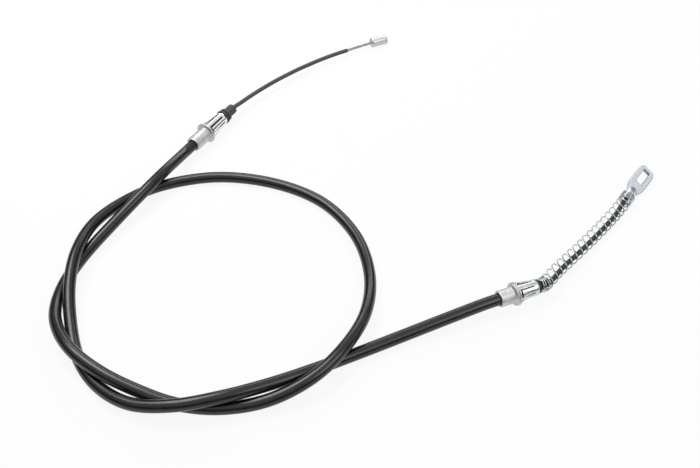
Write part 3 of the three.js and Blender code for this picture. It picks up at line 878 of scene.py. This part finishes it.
def filled_outline(name, loops, half_thickness, bevel):
    """A flat plate with bevelled edges. The first loop is its outline and the others are its holes."""
    curve = bpy.data.curves.new(name, "CURVE")
    curve.dimensions = "2D"
    curve.fill_mode = "BOTH"
    curve.extrude = (half_thickness - bevel) * MM
    curve.bevel_depth = bevel * MM
    curve.bevel_resolution = 3
    curve.offset = -bevel * MM
    for loop in loops:
        spline = curve.splines.new("POLY")
        spline.points.add(len(loop) - 1)
        for point, (x, y) in zip(spline.points, loop):
            point.co = (x * MM, y * MM, 0, 1)
        spline.use_cyclic_u = True
    holder = show(bpy.data.objects.new(name, curve))
    graph = bpy.context.evaluated_depsgraph_get()
    mesh = bpy.data.meshes.new_from_object(holder.evaluated_get(graph))
    bpy.data.objects.remove(holder)
    return mesh


def eye_outline():
    """The palm's outline: a narrow neck, shoulders in a soft curve, and a tip with cut corners."""
    left = [
        (0, 4.4), (3, 4.6), (6, 5.4), (9, 6.6), (12, 7.7), (15, 8.2), (36.5, 8.2), (40.8, 6.6),
        (42.0, 5.0),
    ]
    return left + [(x, -y) for x, y in left[::-1]]


def window_outline():
    """The outline of the long slot in the palm, with round corners."""
    start, end, half, corner = 19.0, 38.6, 3.5, 1.0
    steps = 4
    loop = []
    for cx, cy, first in (
        (end - corner, half - corner, 0),
        (start + corner, half - corner, 90),
        (start + corner, -half + corner, 180),
        (end - corner, -half + corner, 270),
    ):
        for i in range(steps + 1):
            angle = math.radians(first + 90 * i / steps)
            loop.append((cx + corner * math.cos(angle), cy + corner * math.sin(angle)))
    return loop


def add_eye():
    """The palm and the shank blended into one piece, with the seam cut in, then turned into place."""
    loops = [eye_outline(), window_outline()]
    palm = filled_outline("eye_palm", loops, PALM_HALF_THICKNESS, PALM_BEVEL)
    work = bmesh.new()
    work.from_mesh(palm)
    bmesh.ops.remove_doubles(work, verts=work.verts, dist=1e-6)
    angles = [math.tau * k / SHANK_SIDES for k in range(SHANK_SIDES)]
    rings = []
    for x, across, high in SHANK_SECTIONS:
        ring = [(x * MM, across * MM * math.cos(a), high * MM * math.sin(a)) for a in angles]
        rings.append(ring)
    vertices, faces = skin(rings)
    shank = [work.verts.new(v) for v in vertices]
    for face in faces:
        work.faces.new([shank[i] for i in face])
    bmesh.ops.recalc_face_normals(work, faces=work.faces)
    work.to_mesh(palm)
    work.free()
    obj = show(bpy.data.objects.new("eye", palm))
    add_modifier(obj, "REMESH", mode="VOXEL", voxel_size=EYE_VOXEL * MM)
    add_modifier(obj, "SMOOTH", factor=0.5, iterations=5)
    apply_modifiers(obj)
    slit = slit_wedge()
    add_modifier(obj, "BOOLEAN", operation="DIFFERENCE", object=slit, solver="EXACT")
    apply_modifiers(obj)
    bpy.data.objects.remove(slit)
    walls = window_walls(obj.data)
    heading = Matrix.Rotation(math.radians(EYE_HEADING), 4, "Z")
    roll = Matrix.Rotation(math.radians(EYE_ROLL), 4, "X")
    obj.data.transform(Matrix.Translation(EYE_PLACE) @ (heading @ roll))
    smooth(obj.data, 50)
    dress(obj, eye_zinc, "rear_eye", "end_zinc", "eye_end")
    # The window's walls take the darker blue-grey material: painted shade.
    obj.data.materials.append(painted_shade_wall)
    for face in walls:
        obj.data.polygons[face].material_index = 1


def window_walls(mesh):
    """The faces of the punched window's walls, which stand across the sheet."""
    margin = 0.4
    xs, ys = zip(*window_outline())
    low = Vector((min(xs) - margin, min(ys) - margin)) * MM
    high = Vector((max(xs) + margin, max(ys) + margin)) * MM
    walls = []
    for face in mesh.polygons:
        inside = low.x < face.center.x < high.x and low.y < face.center.y < high.y
        if inside and abs(face.normal.z) < 0.5:
            walls.append(face.index)
    return walls


def slit_wedge():
    """The seam where the sheet is rolled into the shank, open a little at the neck."""
    corners = [(2.5, -0.15), (2.5, 0.15), (9.5, 0.75), (10.2, 0), (9.5, -0.75)]
    low, high = 0.4, 6.0
    vertices = [(x * MM, y * MM, z * MM) for z in (low, high) for x, y in corners]
    n = len(corners)
    faces = [tuple(range(n)), tuple(range(n, 2 * n))]
    faces += [(i, (i + 1) % n, n + (i + 1) % n, n + i) for i in range(n)]
    return new_object("slit_cutter", vertices, faces)


add_eye()


# Pieces inside the conduit, which stay as they are in the CAD

paint_node("conduit_armour", armour_steel)
paint_node("conduit_liner", liner_plastic)
paint_node("inner_wire", coat_plastic)


# Floor, world and lamps

# How much of the floor's white is its own glow. The rest takes the shadows.
FLOOR_GLOW = 0.9
FLOOR_HALF = 6


def add_floor():
    """A white floor with faint shadows, most of whose white is a glow for the camera and for metal."""
    corners = [(x * FLOOR_HALF, y * FLOOR_HALF, 0) for x, y in ((-1, -1), (1, -1), (1, 1), (-1, 1))]
    floor = new_object("floor", corners, [(0, 1, 2, 3)])
    material = bpy.data.materials.new("white_floor")
    material.use_nodes = True
    tree = material.node_tree
    tree.nodes.clear()
    output = tree.nodes.new("ShaderNodeOutputMaterial")
    diffuse = tree.nodes.new("ShaderNodeBsdfDiffuse")
    diffuse.inputs["Color"].default_value = (0.9, 0.9, 0.9, 1)
    glow = tree.nodes.new("ShaderNodeEmission")
    glow.inputs["Strength"].default_value = 1
    path = tree.nodes.new("ShaderNodeLightPath")
    camera_or_glossy = tree.nodes.new("ShaderNodeMath")
    camera_or_glossy.operation = "MAXIMUM"
    share = tree.nodes.new("ShaderNodeMath")
    share.operation = "MULTIPLY"
    share.inputs[1].default_value = FLOOR_GLOW
    mix = tree.nodes.new("ShaderNodeMixShader")
    tree.links.new(path.outputs["Is Camera Ray"], camera_or_glossy.inputs[0])
    tree.links.new(path.outputs["Is Glossy Ray"], camera_or_glossy.inputs[1])
    tree.links.new(camera_or_glossy.outputs["Value"], share.inputs[0])
    tree.links.new(share.outputs["Value"], mix.inputs["Fac"])
    tree.links.new(diffuse.outputs["BSDF"], mix.inputs[1])
    tree.links.new(glow.outputs["Emission"], mix.inputs[2])
    tree.links.new(mix.outputs["Shader"], output.inputs["Surface"])
    floor.data.materials.append(material)


def add_world():
    """White to the camera, a weaker light on surfaces, and dark below for the metal to reflect."""
    world = bpy.data.worlds.new("studio")
    bpy.context.scene.world = world
    world.use_nodes = True
    tree = world.node_tree
    tree.nodes.clear()
    output = tree.nodes.new("ShaderNodeOutputWorld")
    seen = tree.nodes.new("ShaderNodeBackground")
    seen.inputs["Color"].default_value = (1, 1, 1, 1)
    light = tree.nodes.new("ShaderNodeBackground")
    path = tree.nodes.new("ShaderNodeLightPath")
    strength = tree.nodes.new("ShaderNodeMapRange")
    strength.inputs["To Min"].default_value = 0.5
    strength.inputs["To Max"].default_value = 1
    tree.links.new(path.outputs["Is Glossy Ray"], strength.inputs["Value"])
    tree.links.new(strength.outputs["Result"], light.inputs["Strength"])
    place = tree.nodes.new("ShaderNodeTexCoord")
    split = tree.nodes.new("ShaderNodeSeparateXYZ")
    tree.links.new(place.outputs["Generated"], split.inputs["Vector"])
    greys = [(0.0, 0.03), (0.38, 0.1), (0.62, 0.7), (1.0, 1)]
    stops = [(height, (grey, grey, grey)) for height, grey in greys]
    tree.links.new(ramp(tree, split.outputs["Z"], stops), light.inputs["Color"])
    mix = tree.nodes.new("ShaderNodeMixShader")
    tree.links.new(path.outputs["Is Camera Ray"], mix.inputs["Fac"])
    tree.links.new(light.outputs["Background"], mix.inputs[1])
    tree.links.new(seen.outputs["Background"], mix.inputs[2])
    tree.links.new(mix.outputs["Shader"], output.inputs["Surface"])


def add_lamp(name, place, aim, width, depth, power):
    data = bpy.data.lights.new(name, "AREA")
    data.shape = "RECTANGLE"
    data.size = width
    data.size_y = depth
    data.energy = power
    lamp = bpy.data.objects.new(name, data)
    lamp.location = place
    lamp.rotation_euler = (Vector(aim) - Vector(place)).to_track_quat("-Z", "Y").to_euler()
    show(lamp)


add_floor()
add_world()
add_lamp("key", (-0.5, 0.3, 1.1), (0, -0.05, 0), 0.7, 0.7, 9)
add_lamp("fill", (1.0, -0.6, 0.9), (0, 0, 0), 0.8, 0.8, 5)
add_lamp("back", (0.1, 1.2, 0.7), (0, 0, 0), 1.2, 0.4, 5)
add_lamp("card", (1.28, 0.42, 0.62), (0.24, 0, 0.01), 0.7, 0.5, 0.9)

bpy.context.scene.view_settings.view_transform = "Standard"
